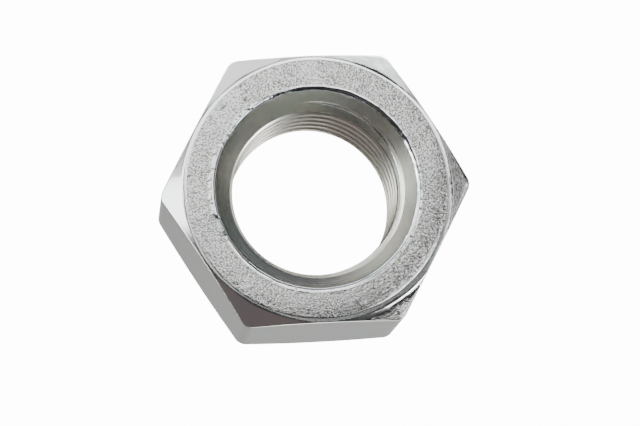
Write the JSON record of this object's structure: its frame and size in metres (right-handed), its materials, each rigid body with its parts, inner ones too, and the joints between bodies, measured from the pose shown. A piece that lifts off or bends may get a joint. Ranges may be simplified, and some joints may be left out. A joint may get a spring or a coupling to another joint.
{
  "type": "hexagon nut",
  "caption": "Bright zinc-plated hexagon nut with turned-off corners, a wide countersink at each end and a fine right-hand internal thread.",
  "frame": {"origin": "centre of the lower bearing face, on the thread axis", "axes": "+Z along the thread axis, out of the upper bearing face; +X through one corner of the hexagon; +Y square to two of its flats"},
  "size_m": [0.0274, 0.024, 0.013],
  "materials": {
    "zinc_steel": "bright zinc plate over a rough forged face, satin"
  },
  "bodies": {
    "root": {"nut_body": "zinc_steel"}
  },
  "joints": []
}
